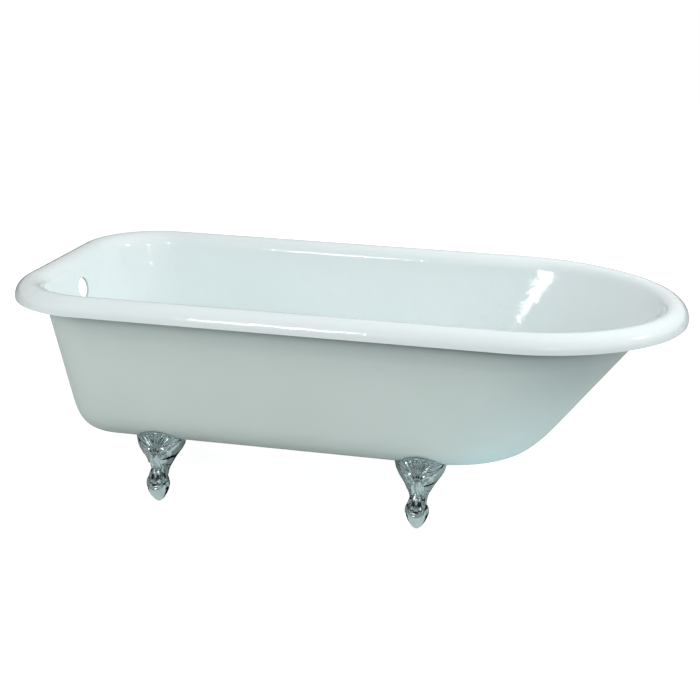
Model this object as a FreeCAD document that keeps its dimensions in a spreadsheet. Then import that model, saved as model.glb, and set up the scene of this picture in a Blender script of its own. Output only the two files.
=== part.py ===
"""Roll-rim clawfoot bathtub: one cast shell on four claw-and-ball feet, each bolted to a slotted boss
under the bowl and standing on a levelling screw with a glide.

Frame: millimetres, +X towards the round sloping end, -Y the near side, +Z up, origin on the floor under
the middle of the rim.
"""
import FreeCAD, Part
import math
import os

import Sketcher

V = FreeCAD.Vector
DOC = FreeCAD.newDocument("Bathtub")
SHEET = DOC.addObject("Spreadsheet::Sheet", "Sizes")
ROWS = {}


# ---------------------------------------------------------------- driving dimensions

def size(alias, value):
    """A driving dimension: a plain number in its own named cell."""
    row = len(ROWS) + 1
    ROWS[alias] = row
    SHEET.set(f"A{row}", alias)
    SHEET.set(f"B{row}", str(value))
    SHEET.setAlias(f"B{row}", alias)


def derive(alias, formula):
    """A cell worked out from other cells."""
    size(alias, "=" + formula)


SIZES = {
    # overall
    "tub_length": 1676,
    "tub_width": 787,
    "overall_height": 569,
    "ground_clearance": 145,
    # rim
    "roll_radius": 36,
    "rim_thickness": 6.6,
    "lip_turn": 8,
    "crown_flat": 2,
    "corner_radius": 222,
    "end_stretch": 1.1,
    # walls
    "wall_thickness": 6,
    "side_slope": 9.5,
    "tap_slope": 10,
    "back_slope": 36.5,
    "bowl_height": 102,
    "bowl_fullness": 0.98,
    "side_sweep": 1.4,
    "tap_sweep": 0.3,
    "back_sweep": 0.33,
    # waste and overflow holes
    "drain_diameter": 51,
    "drain_from_tap_end": 300,
    "overflow_diameter": 57,
    "overflow_height": 482,
    # places of the feet
    "foot_from_tap_end": 372,
    "foot_from_back_end": 628,
    "foot_from_side": 147.5,
    # slotted bosses under the bowl
    "boss_width": 60,
    "boss_length": 56,
    "boss_from_foot": 49,
    "boss_drop": 12,
    "boss_rise": 25,
    "bolt_from_foot": 48,
    "slot_side_gap": 0.5,
    "slot_roof_gap": 0.8,
    "slot_lip": 6,
    # claw foot
    "seat_gap": 0.4,
    "fan_width": 122,
    "fan_thickness": 8,
    "ankle_width": 45,
    "ankle_height": 72,
    "knee_reach": 20,
    "wing_reach": 19,
    "wing_thickness": 6,
    "fan_top": 193,
    "crest_height": 189,
    "crest_fall": 13,
    "ball_diameter": 59,
    "ball_middle": 50,
    "ball_top": 80,
    "cone_height": 20,
    "sole_diameter": 16,
    "sole_height": 0.6,
    "talon_root": 14,
    "talon_width": 13,
    "talon_depth": 7,
    "talon_spread": 66,
    "tongue_width": 46,
    "tongue_thickness": 8,
    "tongue_length": 74,
    "rib_width": 9,
    "rib_foot": 18,
    "rib_reach": 34,
    # fasteners: M10 square-head bolt, washer and nut
    "bolt_diameter": 10,
    "bolt_head": 16,
    "bolt_head_height": 6.5,
    "bolt_tail": 4,
    "bolt_hole_gap": 0.5,
    "washer_diameter": 21,
    "washer_thickness": 2,
    "nut_across_flats": 17,
    "nut_height": 8,
    "thread_gap": 0.05,
    # levelling screw and glide
    "leveller_diameter": 8,
    "leveller_hex": 10,
    "leveller_hex_height": 2.5,
    "leveller_top": 40,
    "leveller_pin": 5,
    "glide_diameter": 12,
    "glide_height": 3,
    "glide_floor": 1,
    "recess_gap": 0.3,
}
for name, number in SIZES.items():
    size(name, number)

# worked-out places
derive("roll_centre_height", "overall_height - roll_radius")
derive("rim_half_width", "tub_width / 2")
derive("rim_end_length", "end_stretch * tub_width / 2")
derive("shell_bottom", "ground_clearance")
derive("foot_tap_place", "foot_from_tap_end - tub_length / 2")
derive("foot_back_place", "tub_length / 2 - foot_from_back_end")
derive("foot_reach", "tub_width / 2 - foot_from_side")
derive("boss_place", "foot_reach - boss_from_foot")
derive("bolt_place", "foot_reach - bolt_from_foot")
derive("boss_bottom", "ground_clearance - boss_drop")
derive("tongue_bottom", "boss_bottom - tongue_thickness")
derive("slot_floor", "boss_bottom + slot_lip")
derive("washer_bottom", "tongue_bottom - washer_thickness")
derive("nut_bottom", "washer_bottom - nut_height")
DOC.recompute()


# ---------------------------------------------------------------- sketch helpers

def cells(formula):
    """The formula with the sheet's name put before each cell's name."""
    out, word = "", ""
    for letter in formula + " ":
        if letter.isalnum() or letter == "_":
            word += letter
            continue
        out += f"Sizes.{word}" if word in ROWS else word
        out += letter
        word = ""
    return out.strip()


def value_of(formula):
    """The present value of a formula written with cell names."""
    return float(SHEET.evalExpression(cells(formula)))


def origin_plane(body, role):
    return next(f for f in body.Origin.OriginFeatures if f.Role == role)


def new_body(name):
    body = DOC.addObject("PartDesign::Body", name)
    body.Label = name
    return body


def new_sketch(body, name, role, offset=("0", "0", "0"), turn=None):
    """A sketch on one of the body's origin planes; offset and turn are in the plane's own axes."""
    sketch = body.newObject("Sketcher::SketchObject", name)
    sketch.AttachmentSupport = [(origin_plane(body, role), "")]
    sketch.MapMode = "FlatFace"
    axis, angle = turn or ((0, 0, 1), "0")
    place = [value_of(formula) for formula in offset]
    sketch.AttachmentOffset = FreeCAD.Placement(
        V(*place), FreeCAD.Rotation(V(*axis), value_of(angle)))
    for name_of_axis, formula in zip("xyz", offset):
        if formula != "0":
            sketch.setExpression(f"AttachmentOffset.Base.{name_of_axis}", cells(formula))
    if turn:
        sketch.setExpression("AttachmentOffset.Rotation.Angle", cells(angle))
    return sketch


def arc(cx, cy, radius, start, end):
    circle = Part.Circle(V(cx, cy, 0), V(0, 0, 1), radius)
    return Part.ArcOfCircle(circle, math.radians(start), math.radians(end))


def line(x1, y1, x2, y2):
    return Part.LineSegment(V(x1, y1, 0), V(x2, y2, 0))


def fix(sketch, kind, args, formula):
    """A dimension bound to a formula of the sheet's cells."""
    index = sketch.addConstraint(Sketcher.Constraint(kind, *args, value_of(formula)))
    sketch.setExpression(f"Constraints[{index}]", cells(formula))


def pin_point(sketch, edge, end, x, y):
    """Fixes one point of an edge (1 start, 2 end, 3 centre) at x and y, each a formula."""
    for kind, axis, formula in (("DistanceX", -2, x), ("DistanceY", -1, y)):
        if formula == "0":
            sketch.addConstraint(Sketcher.Constraint("PointOnObject", edge, end, axis))
        else:
            fix(sketch, kind, (-1, 1, edge, end), formula)


def join(sketch, kind, edges):
    """Joins each edge's end to the next edge's start, round the loop."""
    for now, after in zip(edges, edges[1:] + edges[:1]):
        sketch.addConstraint(Sketcher.Constraint(kind, now, 2, after, 1))


def polygon(sketch, corners):
    """A closed outline of straight lines; each corner is a pair of formulas."""
    points = [(value_of(x), value_of(y)) for x, y in corners]
    edges = [sketch.addGeometry(line(*a, *b)) for a, b in zip(points, points[1:] + points[:1])]
    join(sketch, "Coincident", edges)
    for edge, (x, y) in zip(edges, corners):
        pin_point(sketch, edge, 1, x, y)


def rectangle(sketch, left, right, low, high):
    polygon(sketch, [(left, low), (right, low), (right, high), (left, high)])


def circle(sketch, x, y, diameter):
    shape = Part.Circle(V(value_of(x), value_of(y), 0), V(0, 0, 1), value_of(diameter) / 2)
    edge = sketch.addGeometry(shape)
    pin_point(sketch, edge, 3, x, y)
    fix(sketch, "Diameter", (edge,), diameter)


def hexagon(sketch, across_flats):
    """A regular hexagon about the sketch's origin, with two sides along its X axis."""
    radius = value_of(across_flats) / 2 / math.cos(math.radians(30))
    corners = [(radius * math.cos(math.radians(60 * k)), radius * math.sin(math.radians(60 * k)))
               for k in range(6)]
    edges = [sketch.addGeometry(line(*a, *b)) for a, b in zip(corners, corners[1:] + corners[:1])]
    ring = sketch.addGeometry(Part.Circle(V(0, 0, 0), V(0, 0, 1), radius), True)
    join(sketch, "Coincident", edges)
    pin_point(sketch, ring, 3, "0", "0")
    fix(sketch, "Radius", (ring,), f"{across_flats} / 2 / cos(30)")
    for edge in edges:
        sketch.addConstraint(Sketcher.Constraint("PointOnObject", edge, 1, ring))
    for edge in edges[1:]:
        sketch.addConstraint(Sketcher.Constraint("Equal", edges[0], edge))
    sketch.addConstraint(Sketcher.Constraint("Horizontal", edges[1]))


def feature(body, kind, name, sketch, **bound):
    """A sketch-based feature; bound properties are formulas, others plain values."""
    item = body.newObject(f"PartDesign::{kind}", name)
    item.Profile = sketch
    for prop, setting in bound.items():
        if isinstance(setting, str) and prop in ("Length", "Length2", "Angle"):
            setattr(item, prop, value_of(setting))
            item.setExpression(prop, cells(setting))
        else:
            setattr(item, prop, setting)
    sketch.Visibility = False
    return item


def spin(body, kind, name, sketch):
    """A full turn about the sketch's vertical axis."""
    return feature(body, kind, name, sketch, ReferenceAxis=(sketch, ["V_Axis"]), Angle="360")


# ---------------------------------------------------------------- the D-shaped outlines of the shell

# stations down the rounded inner half of the rim, in degrees above level
CROWN_ANGLES = [90, 76, 62, 48, 34, 22, "side_slope"]
# stations down the outer face under the rolled rim
NECK_ANGLES = ["back_slope", "(back_slope + side_slope) / 2", "side_slope"]
# stations round the bowl, from the foot of the straight wall to the flat floor
BOWL_STEPS = [0, 0.18, 0.36, 0.54, 0.72, 0.88, 1]
SHOULDER = 45
WALLS = ("side", "tap", "back")


def derive_surface(name, radius, floor):
    """Cells of one surface of the shell: radius is that of its rim curve, floor its lowest height.

    A wall's inset at a height is measured level from the rim's outer edge. Above its tangent point it
    follows the rim's circle and below that a straight slope, which a conic curve joins to the floor.
    A wall's sweep is how far that curve runs in over the floor, as a share of its run up the wall.
    """
    derive(f"{name}_radius", radius)
    derive(f"{name}_floor", floor)
    derive(f"{name}_bend", "shell_bottom + bowl_height")
    for wall in WALLS:
        slope = f"{wall}_slope"
        line_at = (f"roll_radius + {name}_radius / cos({slope})"
                   f" + (roll_centre_height - {{}}) * tan({slope})")
        derive(f"{name}_{wall}_start", line_at.format(f"{name}_bend"))
        derive(f"{name}_{wall}_knee", line_at.format(f"{name}_floor"))
        derive(f"{name}_{wall}_flat",
               f"{name}_{wall}_knee + {wall}_sweep * ({name}_bend - {name}_floor) / cos({slope})")


def rim_inset(name, wall, angle):
    """Inset on or under the rim's circle, at the height of this angle on the circle."""
    rise = f"({name}_radius * sin({angle}))"
    slope = f"{wall}_slope"
    return (f"{rise} >= {name}_radius * sin({slope}) - 0.0001"
            f" ? roll_radius + {name}_radius * cos({angle})"
            f" : roll_radius + {name}_radius / cos({slope}) - {rise} * tan({slope})")


def derive_section(tag, height, insets, widen="0"):
    """Cells of one level outline: its height, half width, the places of its two ends and its radii."""
    name = tag.split("_")[0]
    side, tap, back = insets
    derive(f"{tag}_height", height)
    derive(f"{tag}_half", f"rim_half_width - ({side}) + {widen}")
    derive(f"{tag}_tap", f"-tub_length / 2 + ({tap}) - {widen}")
    derive(f"{tag}_tip", f"tub_length / 2 - ({back}) + {widen}")
    derive(f"{tag}_corner", f"{name}_corner_share * {tag}_half")
    derive(f"{tag}_end", f"{name}_end_share * {tag}_half")
    derive(f"{tag}_shift", f"({tag}_end - {tag}_half) / (sin({SHOULDER}) + cos({SHOULDER}) - 1)")
    derive(f"{tag}_shoulder", f"{tag}_half + {tag}_shift * cos({SHOULDER})")


def derive_shares(name, inset):
    """Corner radius and end length of a surface, as shares of its half width where it leaves the rim."""
    derive(f"{name}_corner_share", f"(corner_radius - ({inset})) / (rim_half_width - ({inset}))")
    derive(f"{name}_end_share", f"(rim_end_length - ({inset})) / (rim_half_width - ({inset}))")


def bowl_inset(name, wall, k):
    return (f"mix_start_{k} * {name}_{wall}_start + mix_knee_{k} * {name}_{wall}_knee"
            f" + mix_flat_{k} * {name}_{wall}_flat")


def derive_bowl(name, widen="0", lower="0"):
    tags = []
    for k in range(len(BOWL_STEPS)):
        tag = f"{name}_bowl{k}"
        height = f"{name}_floor + ({name}_bend - {name}_floor) * mix_start_{k} - {lower}"
        derive_section(tag, height, [bowl_inset(name, wall, k) for wall in WALLS], widen)
        tags.append(tag)
    return tags


def derive_outlines():
    for k, t in enumerate(BOWL_STEPS):
        total = f"((1 - {t})^2 + 2 * bowl_fullness * {t} * (1 - {t}) + {t}^2)"
        derive(f"mix_start_{k}", f"(1 - {t})^2 / {total}")
        derive(f"mix_knee_{k}", f"2 * bowl_fullness * {t} * (1 - {t}) / {total}")
        derive(f"mix_flat_{k}", f"{t}^2 / {total}")
    derive_surface("void", "roll_radius", "shell_bottom + wall_thickness")
    derive_surface("skin", "roll_radius - wall_thickness", "shell_bottom")
    derive_surface("seat", "roll_radius - wall_thickness", "shell_bottom")
    derive("edge_corner_share", "corner_radius / rim_half_width")
    derive("edge_end_share", "end_stretch")
    derive_shares("void", "roll_radius")
    derive_shares("skin", f"roll_radius + skin_radius * cos({NECK_ANGLES[0]})")
    derive_shares("seat", f"roll_radius + seat_radius * cos({NECK_ANGLES[0]})")
    derive_section("edge_rim", "roll_centre_height", ["0", "0", "0"])
    tags = {"edge": ["edge_rim"]}
    for name, angles in (("void", CROWN_ANGLES), ("skin", NECK_ANGLES)):
        tags[f"{name}_top"] = []
        for k, angle in enumerate(angles):
            tag = f"{name}_top{k}"
            height = f"roll_centre_height + {name}_radius * sin({angle})"
            crown = "crown_flat" if angle == 90 else "0"
            insets = [f"({rim_inset(name, wall, angle)}) + {crown}" for wall in WALLS]
            derive_section(tag, height, insets)
            tags[f"{name}_top"].append(tag)
        tags[f"{name}_bowl"] = derive_bowl(name)
    tags["seat_bowl"] = derive_bowl("seat", "seat_gap", "seat_gap")
    derive_section("seat_wall", "overall_height - 150",
                   [f"roll_radius + seat_radius / cos({w}_slope)"
                    f" + (roll_centre_height - overall_height + 150) * tan({w}_slope)" for w in WALLS],
                   "seat_gap")
    return tags


def outline_sketch(body, tag, height=None):
    """The level D outline: flat tap end, two corners, two sides and a round end of three arcs."""
    half, tap, tip, corner, end, shift, shoulder = (
        value_of(f"{tag}_{part}")
        for part in ("half", "tap", "tip", "corner", "end", "shift", "shoulder"))
    sketch = new_sketch(body, f"{body.Name}_{tag}", "XY_Plane", ("0", "0", height or f"{tag}_height"))
    start = tip - end
    nose = shoulder - shift
    centre = start + shift * math.sin(math.radians(SHOULDER))
    turn = 90 - SHOULDER
    edges = [sketch.addGeometry(item) for item in (
        line(tap + corner, -half, start, -half),
        arc(start, shoulder - half, shoulder, 270, 270 + SHOULDER),
        arc(centre, 0, nose, -turn, turn),
        arc(start, half - shoulder, shoulder, turn, 90),
        line(start, half, tap + corner, half),
        arc(tap + corner, half - corner, corner, 90, 180),
        line(tap, half - corner, tap, corner - half),
        arc(tap + corner, corner - half, corner, 180, 270))]
    join(sketch, "Tangent", edges)
    for edge, sign in ((1, "-"), (3, "")):
        pin_point(sketch, edge, 3, f"{tag}_tip - {tag}_end", f"{sign}({tag}_half - {tag}_shoulder)")
        fix(sketch, "Radius", (edge,), f"{tag}_shoulder")
    fix(sketch, "Radius", (2,), f"{tag}_shoulder - {tag}_shift")
    for edge, sign in ((7, "-"), (5, "")):
        pin_point(sketch, edge, 3, f"{tag}_tap + {tag}_corner", f"{sign}({tag}_half - {tag}_corner)")
        fix(sketch, "Radius", (edge,), f"{tag}_corner")
    return sketch


def stack(body, kind, name, sketches, ruled):
    """A loft through level outlines."""
    item = body.newObject(f"PartDesign::{kind}Loft", name)
    item.Profile = sketches[0]
    item.Sections = sketches[1:]
    item.Ruled = ruled
    return item


# ---------------------------------------------------------------- the shell

def roll_sketch(body):
    """The rolled rim's section, square to the near side: a curled lip, a hollow and a blank crown.

    The inner half of the crown is left square here, and the tub's inside is cut to its round.
    """
    sketch = new_sketch(body, "roll_section", "YZ_Plane", ("0", "0", "edge_rim_tap + edge_rim_corner"))
    middle = "-rim_half_width + roll_radius"
    inner = "(roll_radius - rim_thickness)"
    neck = NECK_ANGLES[0]
    points = {name: (value_of(x), value_of(y)) for name, (x, y) in {
        "middle": (middle, "roll_centre_height"),
        "blank": (f"{middle} + blank_reach", "overall_height")}.items()}
    cy, cz = points["middle"]
    radius, hollow = value_of("roll_radius"), value_of(inner)
    turn = value_of("lip_turn")
    lip = math.radians(180 + turn)
    lip_mid = (radius + hollow) / 2
    neck_angle = value_of(neck)
    neck_y = cy + hollow * math.cos(math.radians(neck_angle))
    neck_z = cz + hollow * math.sin(math.radians(neck_angle))
    fall = value_of("blank_fall")
    blank_y = points["blank"][0]
    top = points["blank"][1]
    edges = [sketch.addGeometry(item) for item in (
        arc(cy, cz, radius, 90, 180 + turn),
        arc(cy + lip_mid * math.cos(lip), cz + lip_mid * math.sin(lip), (radius - hollow) / 2,
            180 + turn, 360 + turn),
        arc(cy, cz, hollow, neck_angle, 180 + turn),
        line(neck_y, neck_z, blank_y, top - fall),
        line(blank_y, top - fall, blank_y, top),
        line(blank_y, top, cy, top))]
    outer_arc, lip_arc, hollow_arc, slant, drop, crown = edges
    for a, end_a, b, end_b, kind in (
            (outer_arc, 2, lip_arc, 1, "Tangent"), (lip_arc, 2, hollow_arc, 2, "Tangent"),
            (hollow_arc, 1, slant, 1, "Coincident"), (slant, 2, drop, 1, "Coincident"),
            (drop, 2, crown, 1, "Coincident"), (crown, 2, outer_arc, 1, "Tangent")):
        sketch.addConstraint(Sketcher.Constraint(kind, a, end_a, b, end_b))
    sketch.addConstraint(Sketcher.Constraint("Coincident", hollow_arc, 3, outer_arc, 3))
    pin_point(sketch, outer_arc, 3, middle, "roll_centre_height")
    fix(sketch, "Radius", (outer_arc,), "roll_radius")
    fix(sketch, "Radius", (hollow_arc,), inner)
    fix(sketch, "DistanceY", (-1, 1, lip_arc, 3),
        "roll_centre_height - (roll_radius - rim_thickness / 2) * sin(lip_turn)")
    fix(sketch, "DistanceY", (-1, 1, hollow_arc, 1), f"roll_centre_height + {inner} * sin({neck})")
    pin_point(sketch, drop, 1, f"{middle} + blank_reach", "overall_height - blank_fall")
    sketch.addConstraint(Sketcher.Constraint("Vertical", drop))
    return sketch


def boss_places():
    return [(place, sign) for place in ("foot_tap_place", "foot_back_place") for sign in ("-", "")]


def build_shell(tags):
    """The cast tub: outer skin, rolled rim and slotted bosses, hollowed by the bathing space."""
    body = new_body("tub_shell")
    top = [outline_sketch(body, tag) for tag in tags["skin_top"]]
    bowl = [outline_sketch(body, tag) for tag in tags["skin_bowl"]]
    stack(body, "Additive", "neck", top, False)
    stack(body, "Additive", "outer_wall", [top[-1], bowl[0]], True)
    stack(body, "Additive", "outer_bowl", bowl, False)
    path = outline_sketch(body, "edge_rim")
    rim = feature(body, "AdditivePipe", "rolled_rim", roll_sketch(body))
    rim.Spine = path
    rim.Mode = "Binormal"
    rim.Binormal = V(0, 0, 1)
    rim.Transition = "Transformed"
    for k, (place, sign) in enumerate(boss_places()):
        sketch = new_sketch(body, f"boss_plan_{k}", "XY_Plane", ("0", "0", "boss_bottom"))
        low, high = (f"{sign}(boss_place {side} boss_length / 2)" for side in "+-")
        if sign == "":
            low, high = high, low
        rectangle(sketch, f"{place} - boss_width / 2", f"{place} + boss_width / 2", low, high)
        feature(body, "Pad", f"boss_{k}", sketch, Length="boss_drop + boss_rise")
    inner_top = [outline_sketch(body, tag) for tag in tags["void_top"]]
    inner_bowl = [outline_sketch(body, tag) for tag in tags["void_bowl"]]
    stack(body, "Subtractive", "rim_round", inner_top, False)
    stack(body, "Subtractive", "inner_wall", [inner_top[-1], inner_bowl[0]], True)
    stack(body, "Subtractive", "inner_bowl", inner_bowl, False)
    for k, (place, sign) in enumerate(boss_places()):
        cut_slot(body, k, place, sign)
    cut_drain(body)
    cut_overflow(body)
    return body


def cut_slot(body, k, place, sign):
    """The T-slot that takes the bolt's square head, open at the boss's outer end."""
    far = f"{sign}(boss_place + boss_length / 2 + 1)"
    near = f"{sign}(bolt_place - bolt_head / 2 - slot_side_gap)"
    low, high = (far, near) if sign else (near, far)
    for name, half, start, depth in (
            ("neck", "(bolt_diameter / 2 + bolt_hole_gap)", "boss_bottom - 1", "slot_lip + 2"),
            ("head", "(bolt_head / 2 + slot_side_gap)", "slot_floor", "bolt_head_height + slot_roof_gap")):
        sketch = new_sketch(body, f"slot_{name}_plan_{k}", "XY_Plane", ("0", "0", start))
        rectangle(sketch, f"{place} - {half}", f"{place} + {half}", low, high)
        pocket = feature(body, "Pocket", f"slot_{name}_{k}", sketch, Length=depth)
        pocket.Reversed = True


def cut_drain(body):
    """The waste hole through the floor near the tap end."""
    sketch = new_sketch(body, "drain_plan", "XY_Plane", ("0", "0", "shell_bottom - 5"))
    circle(sketch, "-tub_length / 2 + drain_from_tap_end", "0", "drain_diameter")
    pocket = feature(body, "Pocket", "drain_hole", sketch, Length="wall_thickness + 10")
    pocket.Reversed = True


def cut_overflow(body):
    """The overflow hole, square to the sloping wall at the tap end."""
    place = ("0", "overflow_height", "overflow_wall_x")
    sketch = new_sketch(body, "overflow_plan", "YZ_Plane", place, ((1, 0, 0), "-tap_slope"))
    circle(sketch, "0", "0", "overflow_diameter")
    feature(body, "Pocket", "overflow_hole", sketch, Length="6 * wall_thickness", Midplane=True)


def build_seat(tags):
    """The space kept clear for the shell's underside, a small gap larger than the shell itself."""
    body = new_body("seat_space")
    wall = outline_sketch(body, "seat_wall")
    bowl = [outline_sketch(body, tag) for tag in tags["seat_bowl"]]
    stack(body, "Additive", "seat_upper", [wall, bowl[0]], True)
    stack(body, "Additive", "seat_lower", bowl, False)
    return body


# ---------------------------------------------------------------- claw-and-ball feet

# stations up the foot from the ankle to the top edge: height, width, front reach, wing place, depth,
# each a share of its own named size
FOOT_STATIONS = [
    (0.00, 0.00, 0.25, 0.70, 3.30),
    (0.16, 0.065, 0.45, 0.70, 3.80),
    (0.25, 0.17, 0.70, 0.65, 3.60),
    (0.33, 0.26, 0.80, 0.65, 3.00),
    (0.42, 0.39, 0.90, 0.70, 2.00),
    (0.525, 0.635, 1.00, 0.80, 1.30),
    (0.64, 0.86, 1.00, 0.90, 1.00),
    (0.77, 0.975, 0.95, 1.00, 1.00),
    (1.00, 1.00, 0.90, 1.00, 1.00),
]
TALONS = (("front", "0"), ("left", "-talon_spread"), ("right", "talon_spread"), ("rear", "180"))


def derive_feet():
    derive("blank_reach", "1.67 * roll_radius")
    derive("blank_fall", "1.72 * roll_radius")
    derive("overflow_wall_x",
           "-tub_length / 2 + roll_radius + roll_radius / cos(tap_slope)"
           " + (roll_centre_height - overflow_height) * tan(tap_slope)")
    for k, (up, wide, front, wing, depth) in enumerate(FOOT_STATIONS):
        derive(f"leg{k}_height", f"ankle_height + {up} * (fan_top - ankle_height)")
        derive(f"leg{k}_half", f"(ankle_width + {wide} * (fan_width - ankle_width)) / 2")
        derive(f"leg{k}_front", f"-knee_reach * {front}")
        derive(f"leg{k}_wing", f"wing_reach * {wing}")
        derive(f"leg{k}_back", f"leg{k}_front + fan_thickness * {depth}")
        derive(f"leg{k}_heel", f"leg{k}_wing + wing_thickness")


def arc_through(x, y, middle):
    """Centre height and radius of the arc through (-x, y), (0, middle) and (x, y)."""
    rise = middle - y
    centre = (middle ** 2 - y ** 2 - x ** 2) / (2 * rise)
    return centre, abs(middle - centre)


def leg_sketch(body, k):
    """A level section of the foot: a bowed front, two wing edges and a bowed or hollow back."""
    sketch = new_sketch(body, f"{body.Name}_leg{k}", "XY_Plane", ("0", "0", f"leg{k}_height"))
    half, front, wing, back, heel = (
        value_of(f"leg{k}_{part}") for part in ("half", "front", "wing", "back", "heel"))
    ends = []
    for level, middle in ((wing, front), (heel, back)):
        centre, radius = arc_through(half, level, middle)
        tilt = math.degrees(math.atan2(level - centre, half))
        below = middle < centre
        start, end = (180 - tilt, 360 + tilt) if below else (tilt, 180 - tilt)
        ends.append((sketch.addGeometry(arc(0, centre, radius, start, end)), below))
    (face, _), (rear, rear_below) = ends
    right = sketch.addGeometry(line(half, wing, half, heel))
    left = sketch.addGeometry(line(-half, heel, -half, wing))
    rear_right, rear_left = (2, 1) if rear_below else (1, 2)
    for a, end_a, b, end_b in ((face, 2, right, 1), (right, 2, rear, rear_right),
                               (rear, rear_left, left, 1), (left, 2, face, 1)):
        sketch.addConstraint(Sketcher.Constraint("Coincident", a, end_a, b, end_b))
    pin_point(sketch, right, 1, f"leg{k}_half", f"leg{k}_wing")
    pin_point(sketch, right, 2, f"leg{k}_half", f"leg{k}_heel")
    pin_point(sketch, left, 1, f"-leg{k}_half", f"leg{k}_heel")
    pin_point(sketch, left, 2, f"-leg{k}_half", f"leg{k}_wing")
    for edge, level, middle, below in ((face, "wing", "front", True), (rear, "heel", "back", rear_below)):
        sign = "-" if below else ""
        fix(sketch, "Radius", (edge,),
            f"{sign}((leg{k}_{middle} - leg{k}_{level})^2 + leg{k}_half^2)"
            f" / (2 * (leg{k}_{middle} - leg{k}_{level}))")
    return sketch


def ball_sketch(body):
    """Half the egg-shaped ball: a round shoulder above its middle, a swell below and a cone to the sole."""
    sketch = new_sketch(body, f"{body.Name}_ball", "YZ_Plane")
    radius, middle, top = (value_of(f) for f in ("ball_diameter / 2", "ball_middle", "ball_top"))
    sole, low, cone = (value_of(f) for f in ("sole_diameter / 2", "sole_height", "cone_height"))
    swell = radius - swell_centre(radius, middle, cone, sole, low)
    centre = radius - swell
    cone_x = centre + math.sqrt(swell ** 2 - (middle - cone) ** 2)
    dip = math.degrees(math.atan2(cone - middle, cone_x - centre))
    crown = sole
    upper_centre = (radius ** 2 - crown ** 2 - (top - middle) ** 2) / (2 * (radius - crown))
    upper = radius - upper_centre
    tip = math.degrees(math.atan2(top - middle, crown - upper_centre))
    edges = [sketch.addGeometry(item) for item in (
        line(0, low, sole, low), line(sole, low, cone_x, cone),
        arc(centre, middle, swell, dip, 0), arc(upper_centre, middle, upper, 0, tip),
        line(crown, top, 0, top), line(0, top, 0, low))]
    for now, after in zip(edges, edges[1:] + edges[:1]):
        kind = "Tangent" if now == edges[1] else "Coincident"
        sketch.addConstraint(Sketcher.Constraint(kind, now, 2, after, 1))
    fix(sketch, "DistanceY", (-1, 1, edges[1], 2), "cone_height")
    pin_point(sketch, edges[0], 1, "0", "sole_height")
    pin_point(sketch, edges[1], 1, "sole_diameter / 2", "sole_height")
    pin_point(sketch, edges[3], 1, "ball_diameter / 2", "ball_middle")
    pin_point(sketch, edges[4], 1, "sole_diameter / 2", "ball_top")
    pin_point(sketch, edges[5], 1, "0", "ball_top")
    for edge in (edges[2], edges[3]):
        fix(sketch, "DistanceY", (-1, 1, edge, 3), "ball_middle")
    return sketch


def swell_centre(radius, middle, cone, sole, low):
    """Distance of the swell's centre from the axis, so that the cone runs on from it to the sole."""
    near, far = -20 * radius, radius - (middle - cone) - 1e-6
    for _ in range(80):
        centre = (near + far) / 2
        swell = radius - centre
        reach = math.sqrt(swell ** 2 - (middle - cone) ** 2)
        foot = centre + reach - (middle - cone) / reach * (cone - low)
        if foot > sole:
            far = centre
        else:
            near = centre
    return centre


def talon_sketch(body, name, angle):
    """A talon's side view in a plane through the ball's axis: it leaves the ankle and grips the ball."""
    sketch = new_sketch(body, f"{body.Name}_talon_{name}", "YZ_Plane", ("0", "0", "0"),
                        ((0, 1, 0), angle))
    polygon(sketch, [("-talon_root", "ankle_height + 6"),
                     ("-(talon_root + 8)", "ankle_height - 2"),
                     ("-(ball_diameter / 2 + talon_depth)", "ball_middle + 6"),
                     ("-(ball_diameter / 2 + talon_depth)", "ball_middle - 6"),
                     ("-(ball_diameter / 2 - 3)", "ball_middle - 24"),
                     ("-(ball_diameter / 2 - 12)", "ball_middle - 10"),
                     ("-talon_root / 2", "ball_middle + 10")])
    return sketch


def crest_shape(sketch):
    """The space above the fan's arched top edge."""
    reach, fall = value_of("fan_width / 2 + 1"), value_of("crest_fall")
    crest, top = value_of("crest_height"), value_of("fan_top + 3")
    centre, radius = arc_through(reach, crest - fall, crest)
    tilt = math.degrees(math.atan2(crest - fall - centre, reach))
    edges = [sketch.addGeometry(item) for item in (
        arc(0, centre, radius, tilt, 180 - tilt), line(-reach, crest - fall, -reach, top),
        line(-reach, top, reach, top), line(reach, top, reach, crest - fall))]
    join(sketch, "Coincident", edges)
    pin_point(sketch, edges[1], 1, "-(fan_width / 2 + 1)", "crest_height - crest_fall")
    pin_point(sketch, edges[1], 2, "-(fan_width / 2 + 1)", "fan_top + 3")
    pin_point(sketch, edges[3], 1, "fan_width / 2 + 1", "fan_top + 3")
    pin_point(sketch, edges[3], 2, "fan_width / 2 + 1", "crest_height - crest_fall")
    fix(sketch, "Radius", (edges[0],), "((fan_width / 2 + 1)^2 + crest_fall^2) / (2 * crest_fall)")


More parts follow.
